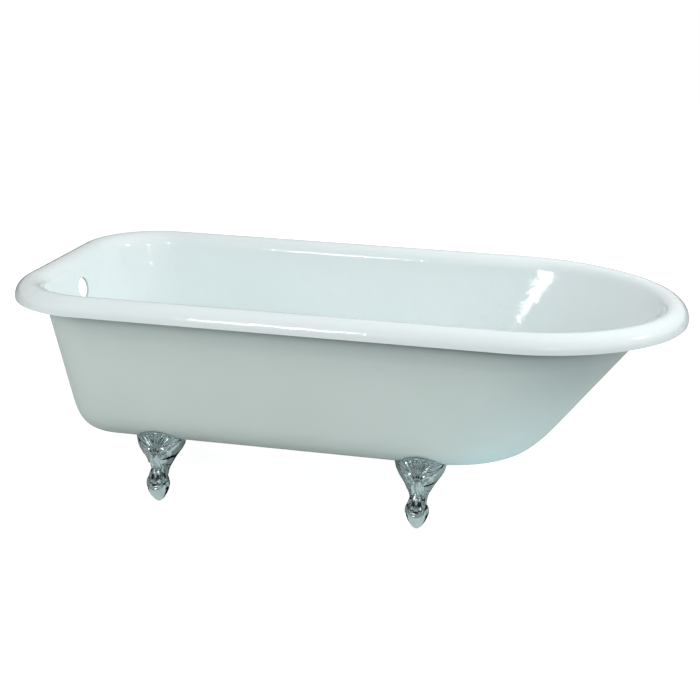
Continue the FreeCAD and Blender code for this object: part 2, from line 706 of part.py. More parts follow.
def build_foot(place_name, place):
    """One claw foot, cut to the underside of the bowl."""
    body = new_body(f"{place_name}_casting")
    legs = [leg_sketch(body, k) for k in range(len(FOOT_STATIONS))]
    stack(body, "Additive", f"{place_name}_leg", legs, False)
    spin(body, "Revolution", f"{place_name}_ball_turned", ball_sketch(body))
    for name, angle in TALONS:
        feature(body, "Pad", f"{place_name}_talon_{name}", talon_sketch(body, name, angle),
                Length="talon_width", Midplane=True)
    crest = new_sketch(body, f"{place_name}_crest_line", "XZ_Plane")
    crest_shape(crest)
    feature(body, "Pocket", f"{place_name}_crest", crest, Length="4 * knee_reach + fan_width",
            Midplane=True)
    tongue = new_sketch(body, f"{place_name}_tongue_plan", "XY_Plane", ("0", "0", "tongue_bottom"))
    rectangle(tongue, "-tongue_width / 2", "tongue_width / 2", "-knee_reach / 2", "tongue_length")
    feature(body, "Pad", f"{place_name}_tongue", tongue, Length="tongue_thickness")
    rib = new_sketch(body, f"{place_name}_rib_side", "YZ_Plane")
    polygon(rib, [("0", "ankle_height + 12"), ("rib_foot", "ankle_height + 12"),
                  ("rib_reach", "tongue_bottom + 1"), ("0", "tongue_bottom + 1")])
    feature(body, "Pad", f"{place_name}_rib", rib, Length="rib_width", Midplane=True)
    hole = new_sketch(body, f"{place_name}_bolt_hole_plan", "XY_Plane", ("0", "0", "tongue_bottom - 1"))
    circle(hole, "0", "bolt_from_foot", "bolt_diameter + 2 * bolt_hole_gap")
    pocket = feature(body, "Pocket", f"{place_name}_bolt_hole", hole, Length="tongue_thickness + 2")
    pocket.Reversed = True
    recess = new_sketch(body, f"{place_name}_recess_side", "YZ_Plane")
    wide = "glide_diameter / 2 + recess_gap"
    deep = "glide_height + leveller_hex_height + 2 * recess_gap"
    narrow = "leveller_diameter / 2 + thread_gap"
    polygon(recess, [("0", "-1"), (wide, "-1"), (wide, deep), (narrow, deep),
                     (narrow, "leveller_top + 3"), ("0", "leveller_top + 3")])
    spin(body, "Groove", f"{place_name}_recess", recess)
    body.Placement = FreeCAD.Placement(V(value_of(place), -value_of("foot_reach"), 0), FreeCAD.Rotation())
    body.setExpression("Placement.Base.x", cells(place))
    body.setExpression("Placement.Base.y", cells("-foot_reach"))
    return body


def fit_foot(name, casting, seat):
    """The casting, ground to sit under the bowl."""
    foot = DOC.addObject("Part::Cut", name)
    foot.Base = casting
    foot.Tool = seat
    foot.Label = name
    return foot


def mirror_foot(name, foot):
    far = DOC.addObject("Part::Mirroring", name)
    far.Source = foot
    far.Normal = V(0, 1, 0)
    far.Base = V(0, 0, 0)
    far.Label = name
    return far


# ---------------------------------------------------------------- fasteners and levellers

def stand(body, x, y):
    """Places a turned piece: x and y are formulas, and its own height is in its sketches."""
    body.Placement = FreeCAD.Placement(V(value_of(x), value_of(y), 0), FreeCAD.Rotation())
    body.setExpression("Placement.Base.x", cells(x))
    body.setExpression("Placement.Base.y", cells(y))


def pad_at(body, name, draw, low, length):
    """A pad whose level outline is drawn by a function and starts at the height low."""
    sketch = new_sketch(body, f"{body.Name}_{name}_plan", "XY_Plane", ("0", "0", low))
    draw(sketch)
    return feature(body, "Pad", f"{body.Name}_{name}", sketch, Length=length)


def build_bolt(name, x, y):
    """Square-head bolt: the head lies in the boss's slot and the shank points down."""
    body = new_body(name)
    half = "bolt_head / 2"
    pad_at(body, "head", lambda s: rectangle(s, f"-{half}", half, f"-{half}", half),
           "slot_floor", "bolt_head_height")
    pad_at(body, "shank", lambda s: circle(s, "0", "0", "bolt_diameter"),
           "nut_bottom - bolt_tail", "slot_floor - nut_bottom + bolt_tail")
    stand(body, x, y)
    return body


def build_washer(name, x, y):
    body = new_body(name)

    def ring(sketch):
        circle(sketch, "0", "0", "washer_diameter")
        circle(sketch, "0", "0", "bolt_diameter + bolt_hole_gap")

    pad_at(body, "ring", ring, "washer_bottom", "washer_thickness")
    stand(body, x, y)
    return body


def build_nut(name, x, y):
    body = new_body(name)

    def ring(sketch):
        hexagon(sketch, "nut_across_flats")
        circle(sketch, "0", "0", "bolt_diameter + 2 * thread_gap")

    pad_at(body, "hexagon", ring, "nut_bottom", "nut_height")
    stand(body, x, y)
    return body


def build_glide(name, x, y):
    """The glide stays still on the floor while the screw turns in its blind bore."""
    body = new_body(name)
    side = new_sketch(body, f"{name}_side", "YZ_Plane")
    bore = "leveller_pin / 2 + thread_gap"
    polygon(side, [("0", "0"), ("glide_diameter / 2 - 0.6", "0"), ("glide_diameter / 2", "0.6"),
                   ("glide_diameter / 2", "glide_height"), (bore, "glide_height"),
                   (bore, "glide_floor"), ("0", "glide_floor")])
    spin(body, "Revolution", f"{name}_turned", side)
    stand(body, x, y)
    return body


def build_screw(name, x, y):
    """Levelling screw: a pin in the glide, a hexagon for the spanner and a shank in the ball."""
    body = new_body(name)
    hex_low = "glide_height + recess_gap"
    pad_at(body, "hexagon", lambda s: hexagon(s, "leveller_hex"), hex_low, "leveller_hex_height")
    pad_at(body, "pin", lambda s: circle(s, "0", "0", "leveller_pin"),
           "glide_floor + recess_gap", f"{hex_low} - glide_floor - recess_gap")
    pad_at(body, "shank", lambda s: circle(s, "0", "0", "leveller_diameter"),
           f"{hex_low} + leveller_hex_height", f"leveller_top - {hex_low} - leveller_hex_height")
    stand(body, x, y)
    return body


# ---------------------------------------------------------------- the whole tub

def build_all():
    tags = derive_outlines()
    derive_feet()
    DOC.recompute()
    shell = build_shell(tags)
    seat = build_seat(tags)
    parts = [shell]
    for end, place in (("tap", "foot_tap_place"), ("back", "foot_back_place")):
        casting = build_foot(f"foot_{end}", place)
        near = fit_foot(f"foot_{end}_near", casting, seat)
        parts += [near, mirror_foot(f"foot_{end}_far", near)]
        for side, sign in (("near", "-"), ("far", "")):
            bolt_y, ball_y = f"{sign}bolt_place", f"{sign}foot_reach"
            parts += [build_bolt(f"foot_bolt_{end}_{side}", place, bolt_y),
                      build_washer(f"foot_washer_{end}_{side}", place, bolt_y),
                      build_nut(f"foot_nut_{end}_{side}", place, bolt_y),
                      build_screw(f"leveller_screw_{end}_{side}", place, ball_y),
                      build_glide(f"leveller_glide_{end}_{side}", place, ball_y)]
    DOC.recompute()
    return parts


def check_and_write(parts):
    """Stops on any failed object, then writes one file for each sub-part."""
    for item in DOC.Objects:
        if {"Invalid", "Error"} & set(item.State):
            raise RuntimeError(f"{item.Label} failed: {item.State} {item.getStatusString()}")
    os.makedirs("parts", exist_ok=True)
    for part in parts:
        shape = part.Shape
        if shape.isNull() or not shape.isValid() or len(shape.Solids) != 1:
            raise RuntimeError(f"{part.Label}: {len(shape.Solids)} solids, valid {shape.isValid()}")
        box = shape.BoundBox
        print(f"{part.Label}: {shape.Volume / 1000:.1f} cm3,"
              f" x {box.XMin:.1f} {box.XMax:.1f} y {box.YMin:.1f} {box.YMax:.1f}"
              f" z {box.ZMin:.1f} {box.ZMax:.1f}")
        shape.exportStep(f"parts/{part.Label}.step")


check_and_write(build_all())
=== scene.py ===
import bmesh
import bpy
import math
import numpy as np
from mathutils import Matrix, Vector


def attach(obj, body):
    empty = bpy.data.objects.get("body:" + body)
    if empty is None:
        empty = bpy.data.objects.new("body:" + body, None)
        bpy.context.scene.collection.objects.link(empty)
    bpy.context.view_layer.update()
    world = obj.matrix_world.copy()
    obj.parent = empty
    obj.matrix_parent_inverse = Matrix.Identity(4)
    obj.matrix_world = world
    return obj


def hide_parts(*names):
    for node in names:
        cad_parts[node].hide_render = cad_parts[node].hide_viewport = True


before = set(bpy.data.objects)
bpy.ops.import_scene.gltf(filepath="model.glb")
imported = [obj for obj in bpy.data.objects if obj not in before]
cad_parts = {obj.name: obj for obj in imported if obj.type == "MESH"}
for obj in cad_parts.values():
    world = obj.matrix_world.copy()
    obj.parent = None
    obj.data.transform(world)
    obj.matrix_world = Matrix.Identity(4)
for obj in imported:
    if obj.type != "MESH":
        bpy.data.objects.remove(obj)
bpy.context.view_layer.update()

# The tub as an analytic mesh, four cast feet on bosses, and the studio round them.
# Shapes are worked out in millimetres, x to the tub's back, y to its far side, z up.

# ---------------------------------------------------------------- sizes, in millimetres

MM = 0.001
LENGTH, WIDTH, HEIGHT = 1676.0, 787.0, 569.0
# rolled rim: radius, degrees its lip turns past level, thickness, step in at the bath's edge
ROLL, LIP_TURN, RIM_THICK, CROWN = 36.0, 8.0, 6.6, 2.0
# plan: radius of the tap end's corners, length of the back's bow over half the width
CORNER, STRETCH = 222.0, 1.1
# section: thickness of the wall, underside of the floor, height of the bends and their fullness
WALL, BOTTOM, BOWL, FULL = 6.0, 145.0, 102.0, 0.98
# slope of each wall in degrees, and how far its bend sweeps in
SLOPES = {"side": 9.5, "tap": 10.0, "back": 36.5}
SWEEPS = {"side": 1.4, "tap": 0.3, "back": 0.33}
CENTRE_Z = HEIGHT - ROLL
# the outer skin leaves the roll between these two angles, in degrees above level
NECK_TOP, NECK_END = 36.5, 10.0
SKIN_R = ROLL - WALL
DRAIN_X, DRAIN_R = -538.0, 25.5
OVER_Z, OVER_R = 482.0, 28.5
FEET_X = {"tap": -466.0, "back": 210.0}
FOOT_Y, BOLT_Y = 246.0, 198.0
SIDES = {-1: "near", 1: "far"}


def sin(angle):
    return math.sin(math.radians(angle))


def cos(angle):
    return math.cos(math.radians(angle))


def tan(angle):
    return math.tan(math.radians(angle))


# ---------------------------------------------------------------- the shell's outlines

# points on a straight side, a shoulder, the nose, a corner and the tap end
N_SIDE, N_SHOULDER, N_NOSE, N_CORNER, N_TAP = 44, 14, 34, 22, 18


def ring(half, tap, tip, corner, end, z):
    """One level D outline as points, beginning on the near side at the tap end."""
    shift = (end - half) / (sin(45) + cos(45) - 1)
    shoulder = half + shift * cos(45)
    nose = shoulder - shift
    xs = tip - end
    points = []

    def run(x1, y1, x2, y2, n):
        for k in range(n):
            t = k / n
            points.append((x1 + (x2 - x1) * t, y1 + (y2 - y1) * t))

    def bend(cx, cy, r, a1, a2, n):
        for k in range(n):
            a = a1 + (a2 - a1) * k / n
            points.append((cx + r * cos(a), cy + r * sin(a)))

    run(tap + corner, -half, xs, -half, N_SIDE)
    bend(xs, shoulder - half, shoulder, 270, 315, N_SHOULDER)
    bend(xs + shift * sin(45), 0, nose, -45, 45, N_NOSE)
    bend(xs, half - shoulder, shoulder, 45, 90, N_SHOULDER)
    run(xs, half, tap + corner, half, N_SIDE)
    bend(tap + corner, half - corner, corner, 90, 180, N_CORNER)
    run(tap, half - corner, tap, corner - half, N_TAP)
    bend(tap + corner, corner - half, corner, 180, 270, N_CORNER)
    return [(x, y, z) for x, y in points]


def rim_ring(u, z):
    """An outline at a true offset u from the rim's outer edge."""
    half = WIDTH / 2
    return ring(half - u, -LENGTH / 2 + u, LENGTH / 2 - u, CORNER - u, STRETCH * half - u, z)


def inset(wall, radius, h):
    """Distance of one wall from the outer edge at height h over the roll's centre."""
    slope = SLOPES[wall]
    if h >= radius * sin(slope):
        return ROLL + math.sqrt(max(radius * radius - h * h, 0))
    return ROLL + radius / cos(slope) - h * tan(slope)


def wall_ring(insets, z, top, grow=0.0):
    """An outline at its own distance from the outer edge on each wall."""
    half0 = WIDTH / 2 - top
    half = WIDTH / 2 - insets["side"] + grow
    return ring(half, -LENGTH / 2 + insets["tap"] - grow, LENGTH / 2 - insets["back"] + grow,
                (CORNER - top) / half0 * half, (STRETCH * WIDTH / 2 - top) / half0 * half, z)


def surface_rings(radius, top, angles, floor, n_wall, n_bowl, crown=0.0, grow=0.0):
    """Rings of one surface of the shell from the rim down to its flat floor."""
    rings = []
    for angle in angles:
        h = radius * sin(angle)
        extra = crown if angle == 90 else 0.0
        insets = {wall: inset(wall, radius, h) + extra for wall in SLOPES}
        rings.append(wall_ring(insets, CENTRE_Z + h, top, grow))
    low = BOTTOM + BOWL
    start_z = CENTRE_Z + radius * sin(angles[-1])
    for k in range(1, n_wall + 1):
        z = start_z + (low - start_z) * k / n_wall
        insets = {wall: inset(wall, radius, z - CENTRE_Z) for wall in SLOPES}
        rings.append(wall_ring(insets, z, top, grow))
    for k in range(1, n_bowl + 1):
        t = k / n_bowl
        mix = ((1 - t) ** 2, 2 * FULL * t * (1 - t), t * t)
        b0, b1, b2 = (m / sum(mix) for m in mix)
        insets = {}
        for wall, slope in SLOPES.items():
            a = inset(wall, radius, low - CENTRE_Z)
            b = inset(wall, radius, floor - CENTRE_Z)
            swept_in = b + SWEEPS[wall] * (low - floor) / cos(slope)
            insets[wall] = b0 * a + b1 * b + b2 * swept_in
        rings.append(wall_ring(insets, floor + (low - floor) * b0 - grow, top, grow))
    return rings


def floor_rings(last, n):
    """Rings that close a flat floor, shrinking towards its middle line."""
    spine_share, shrink = 0.9, 0.97
    pts = np.array(last)
    mid = (pts[:, 0].min() + pts[:, 0].max()) / 2
    reach = (pts[:, 0].max() - pts[:, 0].min()) / 2 - np.abs(pts[:, 1]).max() * spine_share
    spine = np.clip(pts[:, 0], mid - reach, mid + reach)
    out = []
    for k in range(1, n + 1):
        t = 1 - k / n * shrink
        out.append([(m + (x - m) * t, y * t, z) for m, (x, y, z) in zip(spine, pts)])
    return out


# ---------------------------------------------------------------- mesh helpers

def make_object(name, verts, faces):
    """A mesh object in metres from vertices in millimetres."""
    mesh = bpy.data.meshes.new(name)
    mesh.from_pydata([tuple(c * MM for c in v) for v in verts], [], faces)
    mesh.update()
    return link_object(name, mesh)


def link_object(name, data):
    obj = bpy.data.objects.new(name, data)
    bpy.context.scene.collection.objects.link(obj)
    return obj


def loft(name, rings):
    """A closed tube of quads through equal rings, with capped ends."""
    n = len(rings[0])
    verts = [p for r in rings for p in r]
    faces = []
    for i in range(len(rings) - 1):
        for j in range(n):
            k = (j + 1) % n
            faces.append((i * n + j, i * n + k, (i + 1) * n + k, (i + 1) * n + j))
    faces.append(tuple(range(n))[::-1])
    faces.append(tuple((len(rings) - 1) * n + j for j in range(n)))
    return make_object(name, verts, faces)


def solid(name, rings):
    """A closed tube whose faces all look outward."""
    obj = loft(name, rings)
    outward(obj)
    return obj


def outward(obj):
    bm = bmesh.new()
    bm.from_mesh(obj.data)
    bmesh.ops.recalc_face_normals(bm, faces=bm.faces)
    bm.to_mesh(obj.data)
    bm.free()


def bake(obj):
    """Applies an object's modifiers."""
    bpy.context.view_layer.update()
    graph = bpy.context.evaluated_depsgraph_get()
    mesh = bpy.data.meshes.new_from_object(obj.evaluated_get(graph), depsgraph=graph)
    mesh.name = obj.name
    obj.modifiers.clear()
    obj.data = mesh


def cut(obj, tool):
    """Takes the tool's volume out of the object, and the tool out of the scene."""
    mod = obj.modifiers.new("cut", "BOOLEAN")
    mod.operation = "DIFFERENCE"
    mod.object = tool
    mod.solver = "EXACT"
    bake(obj)
    bpy.data.objects.remove(tool)


def smooth(obj, angle):
    for poly in obj.data.polygons:
        poly.use_smooth = True
    obj.data.set_sharp_from_angle(angle=math.radians(angle))


def cylinder(name, x, y, z, r, half, tilt=0.0, n=96):
    """A cylinder about (x, y, z), tilted from upright towards x."""
    rings = []
    for w in (-half, half):
        pts = []
        for k in range(n):
            a = 360 * k / n
            px, py, pz = r * cos(a), r * sin(a), w
            pts.append((x + px * cos(tilt) + pz * sin(tilt), y + py,
                        z - px * sin(tilt) + pz * cos(tilt)))
        rings.append(pts)
    return solid(name, rings)


def block(name, lo, hi):
    (x0, y0, z0), (x1, y1, z1) = lo, hi
    rings = [[(x0, y0, z), (x1, y0, z), (x1, y1, z), (x0, y1, z)] for z in (z0, z1)]
    return solid(name, rings)


# ---------------------------------------------------------------- materials

def new_material(name):
    mat = bpy.data.materials.new(name)
    mat.use_nodes = True
    nodes, links = mat.node_tree.nodes, mat.node_tree.links
    return mat, nodes, links, nodes["Principled BSDF"]


def add_noise(nodes, links, scale, detail):
    """A noise in the object's own metres."""
    coord = nodes.new("ShaderNodeTexCoord")
    noise = nodes.new("ShaderNodeTexNoise")
    noise.inputs["Scale"].default_value = scale
    noise.inputs["Detail"].default_value = detail
    links.new(coord.outputs["Object"], noise.inputs["Vector"])
    return noise


def ramp(nodes, links, source, stops):
    """A colour ramp; each stop is a position and a colour."""
    node = nodes.new("ShaderNodeValToRGB")
    elements = node.color_ramp.elements
    elements[0].position, elements[0].color = stops[0]
    elements[1].position, elements[1].color = stops[-1]
    for position, color in stops[1:-1]:
        elements.new(position).color = color
    links.new(source, node.inputs["Fac"])
    return node


def arithmetic(nodes, links, operation, first, second):
    node = nodes.new("ShaderNodeMath")
    node.operation = operation
    links.new(first, node.inputs[0])
    links.new(second, node.inputs[1])
    return node


def map_range(nodes, links, source, span, result, kind="LINEAR"):
    """Maps a value from one span of numbers to another and holds it inside."""
    node = nodes.new("ShaderNodeMapRange")
    node.interpolation_type = kind
    node.inputs["From Min"].default_value, node.inputs["From Max"].default_value = span
    node.inputs["To Min"].default_value, node.inputs["To Max"].default_value = result
    links.new(source, node.inputs["Value"])
    return node


def add_bump(nodes, links, shader, source, strength, distance, before=None):
    bump = nodes.new("ShaderNodeBump")
    bump.inputs["Strength"].default_value = strength
    bump.inputs["Distance"].default_value = distance
    links.new(source, bump.inputs["Height"])
    if before:
        links.new(before.outputs["Normal"], bump.inputs["Normal"])
    links.new(bump.outputs["Normal"], shader.inputs["Normal"])
    return bump


def grey(level):
    return (level, level, level, 1)


def enamel_material():
    mat, nodes, links, shader = new_material("vitreous_enamel")
    cloud = add_noise(nodes, links, 2.2, 2)
    tone = ramp(nodes, links, cloud.outputs["Fac"],
                [(0.3, (0.780, 0.860, 0.864, 1)), (0.7, (0.814, 0.886, 0.890, 1))])
    links.new(tone.outputs["Color"], shader.inputs["Base Color"])
    shader.inputs["Roughness"].default_value = 0.09
    shader.inputs["IOR"].default_value = 1.5
    shader.inputs["Coat Weight"].default_value = 0.35
    shader.inputs["Coat Roughness"].default_value = 0.03
    wave = add_noise(nodes, links, 26, 4)
    peel = add_noise(nodes, links, 220, 2)
    first = add_bump(nodes, links, shader, wave.outputs["Fac"], 0.45, 0.003)
    last = add_bump(nodes, links, shader, peel.outputs["Fac"], 0.05, 0.0002, first)
    links.new(last.outputs["Normal"], shader.inputs["Coat Normal"])
    return mat


def paint_material():
    mat, nodes, links, shader = new_material("satin_paint")
    cloud = add_noise(nodes, links, 3.5, 4)
    tone = ramp(nodes, links, cloud.outputs["Fac"],
                [(0.3, (0.632, 0.734, 0.702, 1)), (0.7, (0.660, 0.762, 0.730, 1))])
    place = nodes.new("ShaderNodeSeparateXYZ")
    coord = nodes.new("ShaderNodeTexCoord")
    links.new(coord.outputs["Object"], place.inputs["Vector"])
    x, z = place.outputs["X"], place.outputs["Z"]
    # painted shade: a soft dark line in the paint's colour under the rolled rim, where the rim
    # shades the wall, stronger towards the back
    height = map_range(nodes, links, z, (0.450, 0.510), (0.0, 1.0))
    line = ramp(nodes, links, height.outputs["Result"],
                [(0.0, grey(0.0)), (0.42, grey(0.12)), (0.62, grey(0.25)), (0.78, grey(0.55)),
                 (0.9, grey(1.0))])
    weight = map_range(nodes, links, x, (-0.75, 0.45), (0.35, 1.0))
    rim_shade_line = arithmetic(nodes, links, "MULTIPLY", line.outputs["Color"], weight.outputs["Result"])
    # and a broad, faint painted shade on the upper part of the sloping back, under the rim
    back = map_range(nodes, links, x, (0.34, 0.60), (0.0, 1.0), "SMOOTHSTEP")
    upper = map_range(nodes, links, z, (0.25, 0.46), (0.0, 0.25), "SMOOTHSTEP")
    slope = arithmetic(nodes, links, "MULTIPLY", back.outputs["Result"], upper.outputs["Result"])
    painted_shade_amount = arithmetic(nodes, links, "ADD", rim_shade_line.outputs["Value"], slope.outputs["Value"])
    # both painted shades darken the paint's own tone towards this colour
    shade = nodes.new("ShaderNodeMixRGB")
    shade.inputs["Color2"].default_value = (0.24, 0.30, 0.31, 1)
    links.new(painted_shade_amount.outputs["Value"], shade.inputs["Fac"])
    links.new(tone.outputs["Color"], shade.inputs["Color1"])
    links.new(shade.outputs["Color"], shader.inputs["Base Color"])
    shader.inputs["Roughness"].default_value = 0.5
    shader.inputs["Specular IOR Level"].default_value = 0.35
    grain = add_noise(nodes, links, 420, 3)
    wave = add_noise(nodes, links, 14, 2)
    first = add_bump(nodes, links, shader, wave.outputs["Fac"], 0.12, 0.0012)
    add_bump(nodes, links, shader, grain.outputs["Fac"], 0.12, 0.00025, first)
    return mat


def chrome_material():
    mat, nodes, links, shader = new_material("chrome_plate")
    cloud = add_noise(nodes, links, 90, 4)
    tone = ramp(nodes, links, cloud.outputs["Fac"],
                [(0.3, (0.44, 0.56, 0.57, 1)), (0.7, (0.50, 0.62, 0.63, 1))])
    links.new(tone.outputs["Color"], shader.inputs["Base Color"])
    shader.inputs["Metallic"].default_value = 1.0
    rough = ramp(nodes, links, cloud.outputs["Fac"], [(0.3, grey(0.06)), (0.75, grey(0.16))])
    links.new(rough.outputs["Color"], shader.inputs["Roughness"])
    pits = add_noise(nodes, links, 260, 3)
    add_bump(nodes, links, shader, pits.outputs["Fac"], 0.05, 0.0002)
    return mat


def zinc_material():
    mat, nodes, links, shader = new_material("zinc_plate")
    cloud = add_noise(nodes, links, 160, 5)
    tone = ramp(nodes, links, cloud.outputs["Fac"],
                [(0.3, (0.42, 0.43, 0.44, 1)), (0.7, (0.58, 0.59, 0.60, 1))])
    links.new(tone.outputs["Color"], shader.inputs["Base Color"])
    shader.inputs["Metallic"].default_value = 1.0
    rough = ramp(nodes, links, cloud.outputs["Fac"], [(0.3, grey(0.28)), (0.75, grey(0.45))])
    links.new(rough.outputs["Color"], shader.inputs["Roughness"])
    add_bump(nodes, links, shader, cloud.outputs["Fac"], 0.1, 0.0002)
    return mat


def nylon_material():
    mat, nodes, links, shader = new_material("black_nylon")
    grain = add_noise(nodes, links, 700, 3)
    tone = ramp(nodes, links, grain.outputs["Fac"],
                [(0.3, (0.012, 0.012, 0.013, 1)), (0.7, (0.03, 0.03, 0.032, 1))])
    links.new(tone.outputs["Color"], shader.inputs["Base Color"])
    shader.inputs["Roughness"].default_value = 0.55
    add_bump(nodes, links, shader, grain.outputs["Fac"], 0.2, 0.0002)
    return mat


ENAMEL, PAINT, CHROME = enamel_material(), paint_material(), chrome_material()
ZINC, NYLON = zinc_material(), nylon_material()


# ---------------------------------------------------------------- the tub

SKIN_TOP = ROLL + SKIN_R * cos(NECK_TOP)
# a boss: half width, inner and outer end from the middle plane, bottom and top
BOSS_HALF, BOSS_IN, BOSS_OUT, BOSS_LOW, BOSS_TOP = 30, 169, 225, 133, 150
# its slot, open at the outer end: half width, bottom and top for the bolt's neck and head
SLOT_STEPS = ((5.5, 132, 140), (8.5, 139, 146.3))
SLOT_OUT, PAST_BOLT = 226, 8.5


def build_tub():
    """The whole casting: floor and outer skin, roll, lip, and the bath's inside."""
    neck = [NECK_TOP - (NECK_TOP - NECK_END) * k / 6 for k in range(7)]
    skin = surface_rings(SKIN_R, SKIN_TOP, neck, BOTTOM, 16, 26)
    hollow_r = ROLL - RIM_THICK
    lip_mid, lip_r = (ROLL + hollow_r) / 2, RIM_THICK / 2
    turn = 180 + LIP_TURN
    rings = floor_rings(skin[-1], 12)[::-1] + skin[::-1]
    # the roll's hollow underside; in its first five rings the wall thickens to the rim's
    for k in range(1, 19):
        a = NECK_TOP + (turn - NECK_TOP) * k / 18
        r = SKIN_R + (hollow_r - SKIN_R) * min(1, k / 5)
        rings.append(rim_ring(ROLL + r * cos(a), CENTRE_Z + r * sin(a)))
    # the paint goes three rings round the lip, where the enamel begins
    last_painted = len(rings) - 1 + 3
    lip_u, lip_z = ROLL + lip_mid * cos(turn), CENTRE_Z + lip_mid * sin(turn)
    for k in range(1, 8):
        a = 360 + turn - 180 * k / 8
        rings.append(rim_ring(lip_u + lip_r * cos(a), lip_z + lip_r * sin(a)))
    for k in range(25):
        a = turn + (90 - turn) * k / 24
        rings.append(rim_ring(ROLL + ROLL * cos(a), CENTRE_Z + ROLL * sin(a)))
    angles = [90 - 80 * k / 18 for k in range(19)]
    void = surface_rings(ROLL, ROLL, angles, BOTTOM + WALL, 20, 30, CROWN)
    rings += void + floor_rings(void[-1], 12)
    obj = loft("tub_shell_cast", rings)
    n = len(rings[0])
    painted, enamelled = 0, 1
    obj.data.materials.append(PAINT)
    obj.data.materials.append(ENAMEL)
    for poly in obj.data.polygons:
        below = max(poly.vertices) // n <= last_painted
        poly.material_index = painted if below else enamelled
    obj.data.polygons[-2].material_index = painted
    obj.data.polygons[-1].material_index = enamelled
    outward(obj)
    over_x = -LENGTH / 2 + inset("tap", ROLL, OVER_Z - CENTRE_Z)
    cut(obj, cylinder("overflow_tool", over_x, 0, OVER_Z, OVER_R, 20, 90 - SLOPES["tap"]))
    cut(obj, cylinder("drain_tool", DRAIN_X, 0, BOTTOM + 3, DRAIN_R, 12))
    smooth(obj, 40)
    return obj


def build_boss(name, x, sign):
    """A slotted boss under the bowl, with cast edges."""
    y0, y1 = sorted((sign * BOSS_IN, sign * BOSS_OUT))
    obj = block(name, (x - BOSS_HALF, y0, BOSS_LOW), (x + BOSS_HALF, y1, BOSS_TOP))
    bm = bmesh.new()
    bm.from_mesh(obj.data)
    # in metres: every edge but those of the top, which is cut to the bowl
    middle = 0.14
    edges = [e for e in bm.edges if min(v.co.z for v in e.verts) < middle]
    bmesh.ops.bevel(bm, geom=edges, offset=0.0022, segments=3, affect="EDGES")
    bm.to_mesh(obj.data)
    bm.free()
    y0, y1 = sorted((sign * (BOLT_Y - PAST_BOLT), sign * SLOT_OUT))
    for half, z0, z1 in SLOT_STEPS:
        cut(obj, block("slot", (x - half, y0, z0), (x + half, y1, z1)))
    cut(obj, seat_solid(0.0))
    obj.data.materials.append(PAINT)
    smooth(obj, 30)
    return obj


def seat_solid(grow):
    """The closed outside of the bowl, grown by a gap, for cutting what sits under it."""
    neck = [NECK_TOP, 22, NECK_END]
    return solid("seat", surface_rings(SKIN_R, SKIN_TOP, neck, BOTTOM, 6, 20, 0.0, grow))


# ---------------------------------------------------------------- the feet

# A foot stands at the ball's upright axis: x across, y to the tub, its front at negative y.
# rows: height, half width, front at the middle, front at the wing's end, depth behind
FOOT = np.array([
    (56.0, 17.0, -12.0, 8.0, 20.0), (66.0, 21.5, -13.0, 11.0, 28.0),
    (73.0, 22.5, -11.0, 13.5, 33.0), (81.0, 23.5, -9.0, 15.0, 32.0),
    (91.0, 27.5, -10.0, 16.0, 30.0), (102.0, 33.5, -13.0, 16.5, 27.0),
    (112.0, 38.5, -15.5, 17.0, 24.0), (122.0, 45.0, -18.0, 18.5, 17.0),
    (135.0, 54.0, -20.0, 21.0, 11.0), (149.0, 61.5, -20.5, 23.0, 8.0),
    (164.0, 65.5, -19.5, 24.5, 7.5), (178.0, 66.0, -18.5, 24.5, 7.0),
    (190.0, 65.0, -18.5, 24.0, 7.0), (200.0, 62.0, -19.5, 23.5, 6.0)])
# heights of the leg's lower end, of the point where the petals meet and of the fan's top,
# and how much lower that top is at its ends
LEG_LOW, FOCUS, CREST, CREST_FALL = 56, 143.0, 197.0, 20.0


def foot_shape(z):
    """Half width, middle reach, wing reach and depth of the foot at a height."""
    return [np.interp(z, FOOT[:, 0], FOOT[:, column]) for column in range(1, 5)]


def crest(t):
    """Height of the fan's top edge, t from -1 to 1 across its width."""
    return CREST - CREST_FALL * np.abs(t) ** 1.6


def bell(x, width):
    """A smooth bump of height 1 at 0."""
    return np.exp(-(x / width) ** 2)


def rise(x, width):
    """A smooth step from 0 to 1."""
    t = np.clip(x / width, 0, 1)
    return t * t * (3 - 2 * t)


def shin_bend(z):
    """How far the ridge down the shin lies to the side at a height."""
    return 2.4 * np.sin((z - 76.0) / 10.5)


